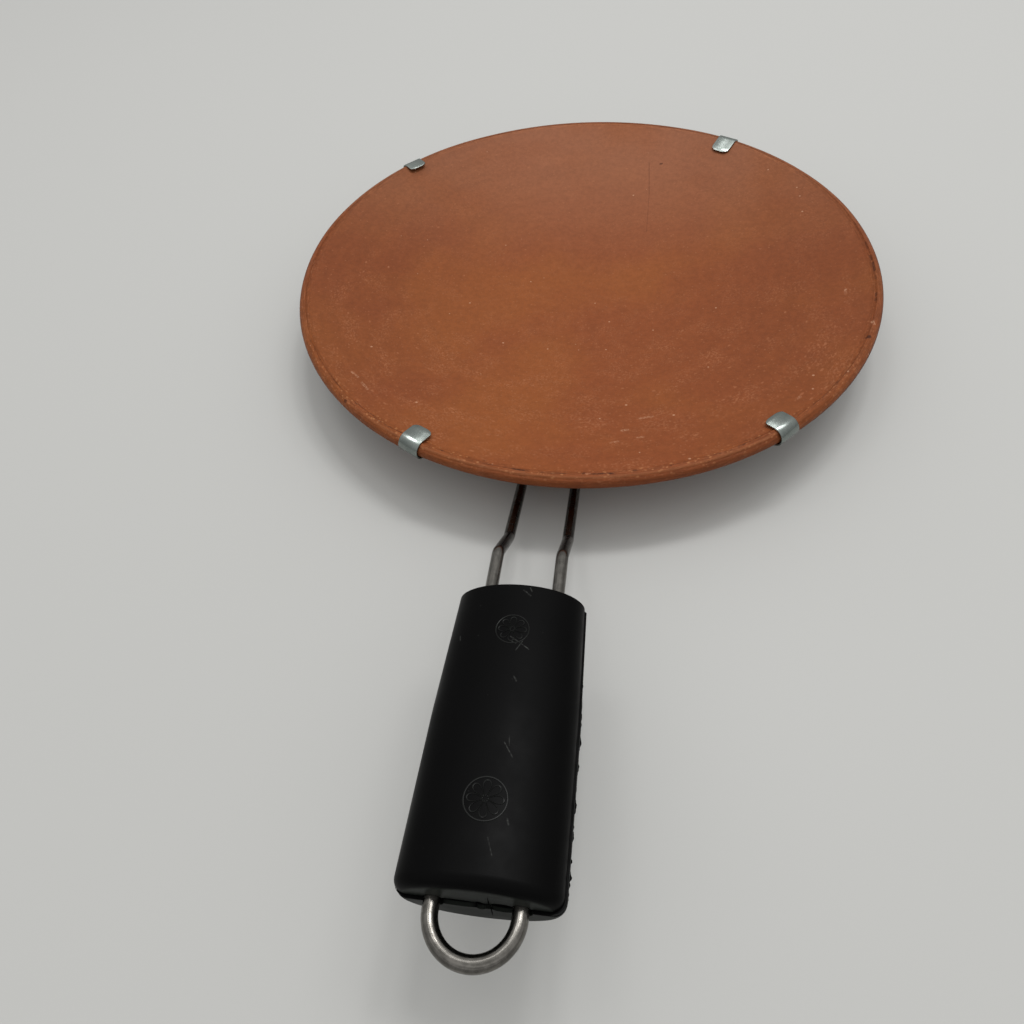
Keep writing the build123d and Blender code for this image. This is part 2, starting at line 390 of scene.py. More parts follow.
foot_z = plate_low.z / MM
rim_r = RIM_T / 2
rim_centre = (PLATE_R - rim_r, plate_high.z / MM - rim_r)


def flank_slope_to(start_r, start_z, centre, radius):
    """Slope of the line from a point that touches the underside of a circle."""
    over, up = centre[0] - start_r, centre[1] - start_z
    return math.degrees(math.atan2(up, over) - math.asin(radius / math.hypot(over, up)))


def below_circle(centre, radius, slope):
    """The point of a circle's underside where a line of that slope touches it."""
    lean = math.radians(slope)
    return centre[0] + radius * math.sin(lean), centre[1] - radius * math.cos(lean)


flank_slope = flank_slope_to(FOOT_R, foot_z, rim_centre, rim_r)
dish_r = PLATE_R - RIM_BAND
dish_edge_z = plate_high.z / MM - RIM_STEP
rim_inside_r = dish_r + RIM_STEP_RUN
rim_inside_z = rim_centre[1] + math.sqrt(rim_r**2 - (rim_centre[0] - rim_inside_r) ** 2)
dish_floor_z = foot_z + PLATE_T
dish_depth = dish_edge_z - dish_floor_z
dish_radius = (dish_r**2 + dish_depth**2) / (2 * dish_depth)

# %% [markdown]
# One twelfth of the plate is turned and copied round. On the way the mesh notes how far across
# the profile each vertex lies, for the finish to find the rim by.

# %% Draw the profile and turn it
PLATE_SECTORS = 12
SECTOR_STEPS = 50
FOOT_STEPS, FOOT_BEND_STEPS, FLANK_STEPS = 6, 4, 14
RIM_STEPS, RIM_STEP_STEPS, DISH_STEPS = 32, 2, 52
SAME_PLACE = 0.01
ACROSS = "across"


def on_profile(radius, z):
    """A point of the profile, which is drawn along X from the plate's middle."""
    return Vector((PLATE_MIDDLE.x / MM + radius, PLATE_MIDDLE.y / MM, z)) * MM


plate_mesh = bmesh.new()
first = plate_mesh.verts.new(on_profile(0, foot_z))
foot_soft = FOOT_SOFT_R * math.tan(math.radians(flank_slope) / 2)
foot_corner = on_profile(FOOT_R, foot_z)
foot_run = on_profile(FOOT_R - foot_soft, foot_z) - first.co
foot_bend_centre = on_profile(FOOT_R - foot_soft, foot_z + FOOT_SOFT_R)
flank_end = on_profile(*below_circle(rim_centre, rim_r, flank_slope))
flank_start = foot_corner + (flank_end - foot_corner).normalized() * foot_soft * MM
inside_angle = math.degrees(math.atan2(rim_inside_z - rim_centre[1], rim_inside_r - rim_centre[0]))
rim_turn = inside_angle - (flank_slope - 90)
step_run = on_profile(dish_r, dish_edge_z) - on_profile(rim_inside_r, rim_inside_z)
dish_centre = on_profile(0, dish_floor_z + dish_radius)
dish_turn = math.degrees(math.asin(dish_r / dish_radius))

section = run(plate_mesh, [first], foot_run, FOOT_STEPS)
section = bend(plate_mesh, section, foot_bend_centre, (0, -1, 0), flank_slope, FOOT_BEND_STEPS)
section = run(plate_mesh, section, flank_end - flank_start, FLANK_STEPS)
section = bend(plate_mesh, section, on_profile(*rim_centre), (0, -1, 0), rim_turn, RIM_STEPS)
section = run(plate_mesh, section, step_run, RIM_STEP_STEPS)
section = bend(plate_mesh, section, dish_centre, (0, 1, 0), dish_turn, DISH_STEPS)
across = plate_mesh.verts.layers.float.new(ACROSS)
plate_mesh.verts.ensure_lookup_table()
for before, after in zip(plate_mesh.verts, plate_mesh.verts[1:]):
    after[across] = before[across] + (after.co - before.co).length / MM
sector_turn = 360 / PLATE_SECTORS
profile = plate_mesh.verts[:] + plate_mesh.edges[:]
bend(plate_mesh, profile, PLATE_MIDDLE, (0, 0, 1), sector_turn, SECTOR_STEPS)
sector = plate_mesh.verts[:] + plate_mesh.edges[:] + plate_mesh.faces[:]
for number in range(1, PLATE_SECTORS):
    copy = vertices_of(bmesh.ops.duplicate(plate_mesh, geom=sector)["geom"])
    turned = rotation(sector_turn * number, "Z", size=3)
    bmesh.ops.rotate(plate_mesh, cent=PLATE_MIDDLE, matrix=turned, verts=copy)
bmesh.ops.remove_doubles(plate_mesh, verts=plate_mesh.verts, dist=SAME_PLACE * MM)

# Where the flank, the roll and the step end, on the way across the profile
flank_to = foot_run.length / MM + FOOT_SOFT_R * math.radians(flank_slope)
flank_to += (flank_end - flank_start).length / MM
rim_to = flank_to + rim_r * math.radians(rim_turn)
step_to = rim_to + math.hypot(RIM_STEP_RUN, rim_inside_z - dish_edge_z)

# %% [markdown]
# ## The hand of the potter
#
# The rim wanders from the circle by about a millimetre: mostly it is oval, with two or three
# smaller swells. Fired clay also sinks and swells gently in its dish. Each is a formula of the
# direction round the plate, so that the straps, made later, can ask how far out the rim stands.

# %% Out of round
WANDER_MEAN = 0.41
# How many swells there are round the plate, how high they are, and where the first one is
WANDER = ((1, 0.23, -50.1), (2, 1.05, -8.0), (3, 0.44, 40.7), (4, 0.28, -43.1))


def rim_wander(angle):
    """How far the rim stands out from the true circle in a direction in degrees, in millimetres."""
    swells = (size * math.cos(math.radians(lobes * (angle - lean))) for lobes, size, lean in WANDER)
    return WANDER_MEAN + sum(swells)


def direction_from_middle(point):
    """Distance from the plate's axis in millimetres, and direction in degrees."""
    x = (point.x - PLATE_MIDDLE.x) / MM
    y = (point.y - PLATE_MIDDLE.y) / MM
    return math.hypot(x, y), math.degrees(math.atan2(y, x)) % 360


def smooth_step(value, low, high):
    """0 below low, 1 above high, and an even rise between."""
    share = min(max((value - low) / (high - low), 0), 1)
    return share * share * (3 - 2 * share)


# %% [markdown]
# Two lines run along the rim. The inner one is the step where the rolled edge meets the dish. It
# is sharp at the front and the sides and closes up at the rear. The outer one is a fine crease on
# the roll itself, seen only at the front. Both waver and break off, as a finger's line does.

# %% The rim's two lines
FOOT_FLAT_TO = 0.5
DISH_SWELL, DISH_SWELL_SIZE = 0.18, 38
STEP_FILL, STEP_FILL_FROM_R = 0.5, 113
STEP_CLOSED_TO, STEP_CLOSED_FADE = 35, 45
EDGE_ROUGH, EDGE_ROUGH_SIZE, EDGE_ROUGH_RUN = 0.13, 3.1, 4
EDGE_ROUGH_SEED = Vector((7, 3, 1))
ON_EDGE, ON_ROLL, ROLL_BELOW = 0.2, 0.05, 1
CREASE_ROUND, CREASE_HALF_W, CREASE_DEPTH = 47, 9, 0.34
CREASE_EVEN, CREASE_UNEVEN = 0.8, 0.5
CREASE_FROM, CREASE_TO, CREASE_FADE = 225, 318, 18
CREASE_WAVER, CREASE_WAVER_SIZE, CREASE_SEED = 3, 9, 4


def rear_share(angle):
    """1 at the rear of the plate, where the step has closed up, and 0 at the front and sides."""
    away = abs((angle - 90 + 180) % 360 - 180)
    return 1 - smooth_step(away, STEP_CLOSED_TO, STEP_CLOSED_TO + STEP_CLOSED_FADE)


def crease_share(angle):
    """How deep the fine crease on the roll is in a direction, from 0 to 1."""
    rise = smooth_step(angle, CREASE_FROM, CREASE_FROM + CREASE_FADE)
    fall = 1 - smooth_step(angle, CREASE_TO - CREASE_FADE, CREASE_TO)
    return rise * fall


def shape_clay(vertex):
    """Move one vertex of the plate off the true shape."""
    radius, angle = direction_from_middle(vertex.co)
    if radius < SAME_PLACE:
        return
    outward = Vector((math.cos(math.radians(angle)), math.sin(math.radians(angle)), 0))
    z = vertex.co.z / MM
    wobble = noise.noise(vertex.co / MM / EDGE_ROUGH_SIZE + EDGE_ROUGH_SEED)
    move = outward * rim_wander(angle) * (radius / PLATE_R) ** 2
    if z > foot_z + FOOT_FLAT_TO:
        move.z += noise.noise(vertex.co / MM / DISH_SWELL_SIZE) * DISH_SWELL
    if radius > STEP_FILL_FROM_R and z > rim_centre[1] and radius <= dish_r + ON_EDGE:
        move.z += STEP_FILL * rear_share(angle) * smooth_step(radius, STEP_FILL_FROM_R, dish_r)
        move.z += EDGE_ROUGH * wobble * smooth_step(radius, dish_r - EDGE_ROUGH_RUN, dish_r)
    from_centre = Vector((radius - rim_centre[0], z - rim_centre[1]))
    if abs(from_centre.length - rim_r) < ON_ROLL and z > rim_centre[1] - ROLL_BELOW:
        round_angle = math.degrees(math.atan2(from_centre.y, from_centre.x))
        waver = CREASE_WAVER * noise.noise(Vector((angle / CREASE_WAVER_SIZE, 0, CREASE_SEED)))
        off_line = (round_angle - CREASE_ROUND - waver) / CREASE_HALF_W
        depth = CREASE_DEPTH * crease_share(angle) * math.exp(-off_line * off_line)
        inward = from_centre.normalized() * -depth * (CREASE_EVEN + CREASE_UNEVEN * wobble)
        move += outward * inward.x
        move.z += inward.y
    vertex.co += move * MM


for vertex in plate_mesh.verts:
    shape_clay(vertex)
plate = make_piece("comal_plate", plate_mesh, "clay_plate", smooth_up_to=60)

# %% [markdown]
# ## The straps
#
# Each strap is one strip of thin sheet. It lies flat under the foot, bends up along the flank,
# turns round the rim with a little room to spare, and its end comes down on the clay as a tab
# with rounded corners. A flat edge is carried along that path, and Solidify gives it the sheet's
# thickness to both sides of the line.

# %% Measures of the straps
DRAWN_X, DRAWN_Y = "drawn_x", "drawn_y"
STRAP_W = 9
STRAP_T = 0.6
STRAP_BEND_R = 6
STRAP_BEND_GAP = 1.0
STRAP_EDGE_R = 0.12
TAB_CORNER_R = 3.2
TAB_STEPS, TAB_CORNER_STEPS, HOOP_STEPS, STRAP_BEND_STEPS = 3, 6, 24, 6
# Each strap's node, direction and distance beside the middle, then its front and its rear end:
# how far the tab reaches in, how steeply it dips, and the gap between the strap and the clay
STRAPS = {
    "strap_lower": ("cross_strap_lower", 60.2, 7.2, (9.4, 8.0, 0.1), (11.6, 15.0, 0.1)),
    "strap_upper": ("cross_strap_upper", 134.45, -9.6, (8.2, 9.0, 0.1), (8.6, 3.0, 0.1)),
}


def strap_hook(angle, offset, strap_z, side, tab, dip, gap):
    """One end of a strap in the upright plane along it: its points, and its turn round the rim."""
    reach = math.sqrt(rim_centre[0] ** 2 - offset**2)
    tab_run = tab - (math.sqrt(PLATE_R**2 - offset**2) - reach)
    end_direction = angle + (0 if side > 0 else 180) - side * math.degrees(math.atan2(offset, reach))
    reach += rim_wander(end_direction % 360)
    bend_r = rim_r + gap + STRAP_T / 2
    corner = (FOOT_R + STRAP_BEND_GAP, strap_z)
    centre = (reach, rim_centre[1])
    slope = flank_slope_to(*corner, centre, bend_r)
    flank_top = below_circle(centre, bend_r, slope)
    lean = math.radians(dip)
    bend_end = (reach - bend_r * math.sin(lean), centre[1] + bend_r * math.cos(lean))
    tab_end = (bend_end[0] - tab_run * math.cos(lean), bend_end[1] - tab_run * math.sin(lean))
    return (tab_end, bend_end, centre, flank_top, corner), 180 - slope + dip


def make_strap(name, node, angle, offset, front, rear):
    """One strap, drawn from its front tab under the plate to its rear tab."""
    lean = math.radians(angle)
    along = Vector((math.cos(lean), math.sin(lean), 0))
    aside = Vector((math.sin(lean), -math.cos(lean), 0))
    origin = Vector((PLATE_MIDDLE.x, PLATE_MIDDLE.y, 0)) + aside * offset * MM
    strap_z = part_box(node)[0].z / MM + STRAP_T / 2

    def place_hook(side, shape):
        points, turn = strap_hook(angle, offset, strap_z, side, *shape)
        return [origin + (along * side * reach + Vector((0, 0, z))) * MM for reach, z in points], turn

    (f_end, f_bend_end, f_centre, f_top, f_corner), f_turn = place_hook(-1, front)
    (r_end, r_bend_end, r_centre, r_top, r_corner), r_turn = place_hook(1, rear)
    mesh = bmesh.new()
    drawn = mesh.verts.layers.float.new(DRAWN_X)
    pair = [mesh.verts.new(f_end + aside * beside * MM) for beside in (STRAP_W / 2, -STRAP_W / 2)]
    pair[0][drawn], pair[1][drawn] = STRAP_W / 2, -STRAP_W / 2
    section = run(mesh, [*pair, mesh.edges.new(pair)], f_bend_end - f_end, TAB_STEPS)
    section = bend(mesh, section, f_centre, aside, f_turn, HOOP_STEPS)
    under = [f_corner, r_corner, r_top]
    section = follow(mesh, section, f_top, under, [STRAP_BEND_R * MM] * 2, STRAP_BEND_STEPS)
    section = bend(mesh, section, r_centre, aside, r_turn, HOOP_STEPS)
    section = run(mesh, section, r_end - r_bend_end, TAB_STEPS)
    bmesh.ops.bevel(
        mesh, geom=pair + vertices_of(section), offset=TAB_CORNER_R * MM, segments=TAB_CORNER_STEPS,
        profile=0.5, affect="VERTICES", material=-1,
    )
    strap = make_piece(name, mesh, node)
    thicken(strap, STRAP_T)
    edge_round = strap.modifiers.new("edge_round", "BEVEL")
    edge_round.width = STRAP_EDGE_R * MM
    edge_round.segments = 2
    return strap


straps = [make_strap(name, *spec) for name, spec in STRAPS.items()]

# %% [markdown]
# ## The wire
#
# One round wire makes both legs and the loop. It comes from under the plate, rises along a slope,
# takes a short steep step and then runs straight through the grip to the loop, and back the same
# way. Where it rests on the table it is worn flat, and its two ends are nipped off.

# %% Measures of the wire
WIRE_D = 4
LEG_SPACING = 20.6
HANDLE_X = -4.8
LEG_END = 15
RUN_SLOPE = 19.4
RUN_BEND_R = 25
STEP_TOP_REACH, STEP_TOP_Z = 157.9, 32.6
STEP_FOOT_REACH, STEP_FOOT_Z = 140.7, 16.4
STEP_BEND_R = 5
GRIP_TILT = 6.9
GRIP_START = 19.9
GRIP_L = 84.3
LOOP_LEG = 2.1
WIRE_END_CHAMFER = 0.5
REST_FLAT = 0.3

wire_r = WIRE_D / 2
run_z = wire_r - REST_FLAT
loop_r = LEG_SPACING / 2
loop_centre = GRIP_START + GRIP_L + LOOP_LEG
tilt = math.radians(GRIP_TILT)
run_end_reach = STEP_FOOT_REACH - (STEP_FOOT_Z - run_z) / math.tan(math.radians(RUN_SLOPE))


def reach_point(x, reach, z):
    """A point at a distance from the plate's middle, towards the handle, in metres."""
    return Vector((x, PLATE_MIDDLE.y / MM - reach, z)) * MM


def wire_point(x, along):
    """A point measured along the wire from the top of the step, in metres."""
    return reach_point(x, STEP_TOP_REACH + along * math.cos(tilt), STEP_TOP_Z + along * math.sin(tilt))


def leg_corners(x):
    """A leg's corners, from its end under the plate to the start of the loop."""
    return [
        reach_point(x, -LEG_END, run_z),
        reach_point(x, run_end_reach, run_z),
        reach_point(x, STEP_FOOT_REACH, STEP_FOOT_Z),
        reach_point(x, STEP_TOP_REACH, STEP_TOP_Z),
        wire_point(x, loop_centre),
    ]


# %% Bend the wire
WIRE_SIDES = 28
LEG_STEPS, LOOP_STEPS = 10, 56
LEG_RADII = [RUN_BEND_R * MM, STEP_BEND_R * MM, STEP_BEND_R * MM]

left_leg = leg_corners(HANDLE_X - loop_r)
right_leg = leg_corners(HANDLE_X + loop_r)
along_grip = (left_leg[4] - left_leg[3]).normalized()
up_from_grip = along_grip.cross(Vector((1, 0, 0)))
wire_mesh = bmesh.new()
face_the_run = Matrix.Translation(left_leg[0]) @ rotation(90, "X")
drawn_x = wire_mesh.verts.layers.float.new(DRAWN_X)
drawn_y = wire_mesh.verts.layers.float.new(DRAWN_Y)
circle = bmesh.ops.create_circle(wire_mesh, segments=WIRE_SIDES, radius=wire_r * MM, matrix=face_the_run)
for vertex in circle["verts"]:
    vertex[drawn_x] = (vertex.co.x - left_leg[0].x) / MM
    vertex[drawn_y] = (vertex.co.z - left_leg[0].z) / MM
section = wire_mesh.verts[:] + wire_mesh.edges[:]
first_end = edges_of(section)
section = follow(wire_mesh, section, left_leg[0], left_leg[1:], LEG_RADII, LEG_STEPS)
section = bend(wire_mesh, section, wire_point(HANDLE_X, loop_centre), up_from_grip, 180, LOOP_STEPS)
section = follow(wire_mesh, section, right_leg[4], right_leg[3::-1], LEG_RADII[::-1], LEG_STEPS)
for ring in (first_end, edges_of(section)):
    bmesh.ops.contextual_create(wire_mesh, geom=ring)
    bmesh.ops.bevel(
        wire_mesh, geom=ring, offset=WIRE_END_CHAMFER * MM, segments=2,
        profile=0.5, affect="EDGES", material=-1,
    )
for vertex in wire_mesh.verts:
    vertex.co.z = max(vertex.co.z, 0)
wire = make_piece("holder_wire", wire_mesh, "handle_wire")

# %% [markdown]
# ## The grip's shells
#
# The grip is two mouldings, closed on the wire and screwed together from below. Seen from the end
# each is half an ellipse. The width grows a little towards the butt, where the edge is well
# rounded, and the front is only just broken. The lower shell sits askew by half a millimetre.
# The arch is drawn once and carried along the wire, and scaled at every station.

# %% Measures of the grip
GRIP_MIDDLE = 0.45
GRIP_FRONT_W, GRIP_MIDDLE_W, GRIP_BUTT_W = 37.6, 39.6, 40.0
GRIP_HALF_H = 10.2
GRIP_BUTT_R = 3.2
GRIP_FRONT_CHAMFER = 0.5
PARTING_GAP = 0.3
LOWER_SHIFT_X, LOWER_SHIFT_ALONG = 0.6, 0.8
ARCH_STEPS, GRIP_STATIONS, BUTT_STEPS = 72, 44, 8


def grip_half_width(along):
    """Half the grip's outer width at a distance from its front."""
    share = along / GRIP_L
    if share < GRIP_MIDDLE:
        return (GRIP_FRONT_W + (GRIP_MIDDLE_W - GRIP_FRONT_W) * share / GRIP_MIDDLE) / 2
    return (GRIP_MIDDLE_W + (GRIP_BUTT_W - GRIP_MIDDLE_W) * (share - GRIP_MIDDLE) / (1 - GRIP_MIDDLE)) / 2


def grip_matrix(shift_x=0, shift_along=0):
    """From the grip's own axes, across, up and along, to the comal's."""
    place = wire_point(HANDLE_X + shift_x, GRIP_START + shift_along)
    axes = Matrix((Vector((1, 0, 0)), up_from_grip, along_grip)).transposed().to_4x4()
    return Matrix.Translation(place) @ axes


def shell_stations():
    """Distances along the grip, and how far the outline is drawn in there."""
    straight_from, straight_to = GRIP_FRONT_CHAMFER, GRIP_L - GRIP_BUTT_R
    stations = [(0, GRIP_FRONT_CHAMFER)]
    for step in range(GRIP_STATIONS + 1):
        stations.append((straight_from + (straight_to - straight_from) * step / GRIP_STATIONS, 0))
    for step in range(1, BUTT_STEPS + 1):
        lean = math.radians(90 * step / BUTT_STEPS)
        stations.append((straight_to + GRIP_BUTT_R * math.sin(lean), GRIP_BUTT_R * (1 - math.cos(lean))))
    return stations


def draw_shell(side):
    """The closed outer form of one shell, on the grip's own axes."""
    mesh = bmesh.new()
    first = mesh.verts.new((MM, 0, 0))
    arch = bend(mesh, [first], (0, 0, 0), (0, 0, 1), 180, ARCH_STEPS)
    mesh.edges.new((first, vertices_of(arch)[0]))
    section = mesh.verts[:] + mesh.edges[:]
    ends = [edges_of(section)]
    here, size = 0, (1, 1)
    for along, drawn_in in shell_stations():
        if along > 0:
            section = run(mesh, section, (0, 0, (along - here) * MM))
        new_size = (grip_half_width(along) - drawn_in, GRIP_HALF_H - PARTING_GAP / 2 - drawn_in)
        grow = (new_size[0] / size[0], new_size[1] / size[1], 1)
        bmesh.ops.scale(mesh, vec=grow, verts=vertices_of(section))
        here, size = along, new_size
    ends.append(edges_of(section))
    for ring in ends:
        bmesh.ops.contextual_create(mesh, geom=ring)
    bmesh.ops.translate(mesh, vec=(0, PARTING_GAP / 2 * MM, 0), verts=mesh.verts)
    bmesh.ops.scale(mesh, vec=(1, side, 1), verts=mesh.verts)
    return mesh


# %% [markdown]
# The wire passes through round channels, and at the butt the two shells leave a ragged slit
# between the legs. Channels, slit and screw recesses are cut with Boolean modifiers, which are
# applied at once, so that the cutters can be thrown away.

# %% Cut the shells
WIRE_CLEARANCE = 0.15
ROD_SIDES = 32
# The slit is four flat rods: place across and up, half width and half height
SLITS = ((-4.6, 0.1, 4.6, 0.8), (0.6, 0.0, 1.1, 1.15), (1.6, 0.0, 2.2, 0.4), (5.7, 0.0, 2.6, 1.35))
SLIT_DEPTH = 6
MOULD_LINE_X, MOULD_LINE_W, MOULD_LINE_DEPTH = 2.9, 0.3, 0.8
SCREW_PLACES = (16.4, 64.4)
SCREW_RECESS_D, SCREW_RECESS_DEPTH = 6.2, 4


def cut(mesh, cutters):
    """Take each cutter mesh out of a mesh, and give the result as a new bmesh."""
    target = mesh_object("uncut", mesh)
    tools = [mesh_object("cutter", cutter) for cutter in cutters]
    for tool in tools:
        boolean = target.modifiers.new("cut", "BOOLEAN")
        boolean.operation = "DIFFERENCE"
        boolean.solver = "EXACT"
        boolean.object = tool
    bpy.context.view_layer.update()
    shape = bpy.data.meshes.new_from_object(target.evaluated_get(bpy.context.evaluated_depsgraph_get()))
    result = bmesh.new()
    result.from_mesh(shape)
    scraps = [shape, *(scrap.data for scrap in (target, *tools))]
    for scrap in (target, *tools):
        bpy.data.objects.remove(scrap)
    for scrap in scraps:
        bpy.data.meshes.remove(scrap)
    return result


def rod(radius_x, radius_y, length, place, turn=Matrix()):
    """A closed elliptic rod for cutting, on the grip's own axes, along the grip unless turned."""
    mesh = bmesh.new()
    size = Matrix.Diagonal((radius_x * MM, radius_y * MM, length * MM, 1))
    matrix = Matrix.Translation(Vector(place) * MM) @ turn @ size
    bmesh.ops.create_cone(
        mesh, cap_ends=True, segments=ROD_SIDES, radius1=1, radius2=1, depth=1, matrix=matrix,
    )
    return mesh


def shell_cutters(side):
    """Wire channels and slit of both shells, and the screw recesses of the lower one."""
    channel = wire_r + WIRE_CLEARANCE
    cutters = [rod(channel, channel, 2 * GRIP_L, (x, 0, GRIP_L / 2)) for x in (-loop_r, loop_r)]
    for x, y, half_w, half_h in SLITS:
        cutters.append(rod(half_w, half_h, 2 * SLIT_DEPTH, (x, y, GRIP_L)))
    mould_line = (MOULD_LINE_X, 0, GRIP_L)
    cutters.append(rod(MOULD_LINE_W / 2, GRIP_HALF_H / 2, 2 * MOULD_LINE_DEPTH, mould_line))
    if side < 0:
        recess = (SCREW_RECESS_D / 2, SCREW_RECESS_D / 2, 2 * SCREW_RECESS_DEPTH)
        for along in SCREW_PLACES:
            cutters.append(rod(*recess, (0, -GRIP_HALF_H, along), rotation(90, "X")))
    return cutters


def make_shell(name, node, side, shift_x, shift_along):
    """Draw, cut and place one shell."""
    mesh = cut(draw_shell(side), shell_cutters(side))
    bmesh.ops.transform(mesh, matrix=grip_matrix(shift_x, shift_along), verts=mesh.verts)
    return make_piece(name, mesh, node, smooth_up_to=40)


shell_top = make_shell("grip_shell_top", "grip_upper", 1, 0, 0)
shell_bottom = make_shell("grip_shell_bottom", "grip_lower", -1, LOWER_SHIFT_X, LOWER_SHIFT_ALONG)

# %% [markdown]
# Over each screw, on top, the mould has a small ornament: a ring with a plain flower of eight
# petals in it, raised by a hair. Each line of it is a thin torus. The petals are drawn flat and
# narrowed towards the middle, and the whole flower is then laid on the arch of the shell.

# %% Flowers on the upper shell
# How far along the grip each flower is, and its radius
FLOWER_PLACES = ((16.0, 4.65), (64.3, 5.3))
FLOWER_X = -0.3
FLOWER_R = 5.3
PETALS = 8
PETAL_FROM, PETAL_TO, PETAL_HALF_W = 0.7, 4.5, 1.05
PETAL_WAIST, PETAL_SPREAD = 0.45, 0.75
LINE_R, LINE_RISE, LINE_SIDES = 0.24, 0.75, 8
FLOWER_STEPS, PETAL_STEPS = 72, 48


def arch_height(x, along):
    """Height of the upper shell's skin above the parting plane."""
    share = min(abs(x) / grip_half_width(along), 1)
    return PARTING_GAP / 2 + (GRIP_HALF_H - PARTING_GAP / 2) * math.sqrt(1 - share * share)


def add_ring(mesh, radius, steps):
    """A thin torus lying flat, with its line as thick as the ornament's. Its vertices come back."""
    start = len(mesh.verts)
    place = Matrix.Translation((radius, 0, 0)) @ rotation(90, "X")
    circle = bmesh.ops.create_circle(mesh, segments=LINE_SIDES, radius=LINE_R, matrix=place)["verts"]
    edges = {edge for vertex in circle for edge in vertex.link_edges}
    bmesh.ops.spin(
        mesh, geom=circle + list(edges), cent=(0, 0, 0), axis=(0, 0, 1), angle=math.tau,
        dvec=(0, 0, 0), steps=steps, use_merge=True,
    )
    mesh.verts.ensure_lookup_table()
    return mesh.verts[start:]


def make_flower(number, along, radius):
    """One ornament, laid on the arch with its middle over a screw."""
    size = radius / FLOWER_R
    mesh = bmesh.new()
    add_ring(mesh, FLOWER_R, FLOWER_STEPS)
    middle, reach = (PETAL_FROM + PETAL_TO) / 2, (PETAL_TO - PETAL_FROM) / 2
    for petal in range(PETALS):
        ring = add_ring(mesh, reach, PETAL_STEPS)
        for vertex in ring:
            outwards = (vertex.co.x / reach + 1) / 2
            vertex.co.y *= PETAL_HALF_W / reach * (PETAL_WAIST + PETAL_SPREAD * outwards)
        bmesh.ops.translate(mesh, vec=(middle, 0, 0), verts=ring)
        turned = rotation(360 * petal / PETALS, "Z", size=3)
        bmesh.ops.rotate(mesh, cent=(0, 0, 0), matrix=turned, verts=ring)
    for vertex in mesh.verts:
        x, z = vertex.co.x * size + FLOWER_X, vertex.co.y * size + along
        vertex.co = Vector((x, arch_height(x, z) + vertex.co.z * LINE_RISE, z)) * MM
    bmesh.ops.transform(mesh, matrix=grip_matrix(), verts=mesh.verts)
    return make_piece(f"grip_flower_{number}", mesh)


flowers = [make_flower(number, *place) for number, place in enumerate(FLOWER_PLACES, start=1)]

# %% [markdown]
# Where the shells meet, a thin ragged fin of plastic was squeezed out of the mould. It shows along
# the right side and round the corner of the butt, on a plain and thicker lip. A line is run along
# the parting plane, and its outer edge is pushed out by an uneven amount.

# %% The fin at the parting line
FIN_FROM, FIN_FADE = 12, 25
FIN_STEPS, FIN_CROWDING = 150, 1.4
FIN_REACH, FIN_T, FIN_LEAST = 0.75, 0.25, 0.08
LIP_REACH, LIP_T, LIP_UNEVEN = 0.36, 0.45, 0.12
# The share, the length and the seed of the fin's long and short tatters
TATTERS = ((0.9, 3.4, 0), (0.5, 0.9, 5))


def parting_edge(along):
    """Half the outline's width in the parting plane, with the butt's rounding."""
    past = max(along - (GRIP_L - GRIP_BUTT_R), 0)
    return grip_half_width(along) - (GRIP_BUTT_R - math.sqrt(max(GRIP_BUTT_R**2 - past * past, 0)))


def make_fin(name, side, seed, reach, uneven=1.0, thick=FIN_T):
    """The fin on one side: 1 for the right, -1 for the left. Less uneven, it is a plain lip."""
    mesh = bmesh.new()
    last = mesh.verts.new((side * parting_edge(FIN_FROM), 0, FIN_FROM))
    for step in range(1, FIN_STEPS + 1):
        along = FIN_FROM + (GRIP_L - FIN_FROM) * (1 - (1 - step / FIN_STEPS) ** FIN_CROWDING)
        last = vertices_of(run(mesh, [last], Vector((side * parting_edge(along), 0, along)) - last.co))[0]
    for vertex in vertices_of(bmesh.ops.extrude_edge_only(mesh, edges=mesh.edges[:])["geom"]):
        along = vertex.co.z
        past = min(max(along - (GRIP_L - GRIP_BUTT_R), 0) / GRIP_BUTT_R, 1)
        away = Vector((side * math.sqrt(1 - past * past), 0, past))
        ragged = sum(share * noise.noise(Vector((along / size, seed, z))) for share, size, z in TATTERS)
        width = max(1 - uneven / 2 + uneven * ragged, FIN_LEAST)
        vertex.co += away * reach * width * smooth_step(along, FIN_FROM, FIN_FROM + FIN_FADE)
    bmesh.ops.translate(mesh, vec=(LOWER_SHIFT_X / 2, 0, LOWER_SHIFT_ALONG / 2), verts=mesh.verts)
    bmesh.ops.scale(mesh, vec=(MM, MM, MM), verts=mesh.verts)
    bmesh.ops.transform(mesh, matrix=grip_matrix(), verts=mesh.verts)
    fin = make_piece(name, mesh)
    thicken(fin, thick)
    return fin


fins = [make_fin("grip_fin_right", 1, 2.0, FIN_REACH), make_fin("grip_fin_left", -1, 9.0, FIN_REACH / 3)]
lip = make_fin("grip_lip", 1, 4.0, LIP_REACH, LIP_UNEVEN, LIP_T)

# %% [markdown]
# ## Effects that several finishes share
#
# Grain, specks and straight scratches turn up on the clay, the steel and the plastic alike, at
# different sizes. Each is a node group, built once, and a function that places it in a finish.

# %% Groups
def new_group(name, vectors, numbers):
    """An empty node group, as a net, with its inputs by name and the node that takes its result."""
    tree = bpy.data.node_groups.new(name, "ShaderNodeTree")
    for titles, kind in ((vectors, "NodeSocketVector"), (numbers, "NodeSocketFloat")):
        for title in titles:
            tree.interface.new_socket(title, in_out="INPUT", socket_type=kind)
    tree.interface.new_socket("Result", in_out="OUTPUT", socket_type="NodeSocketFloat")
    return Net(tree), tree.nodes.new("NodeGroupInput").outputs, tree.nodes.new("NodeGroupOutput")


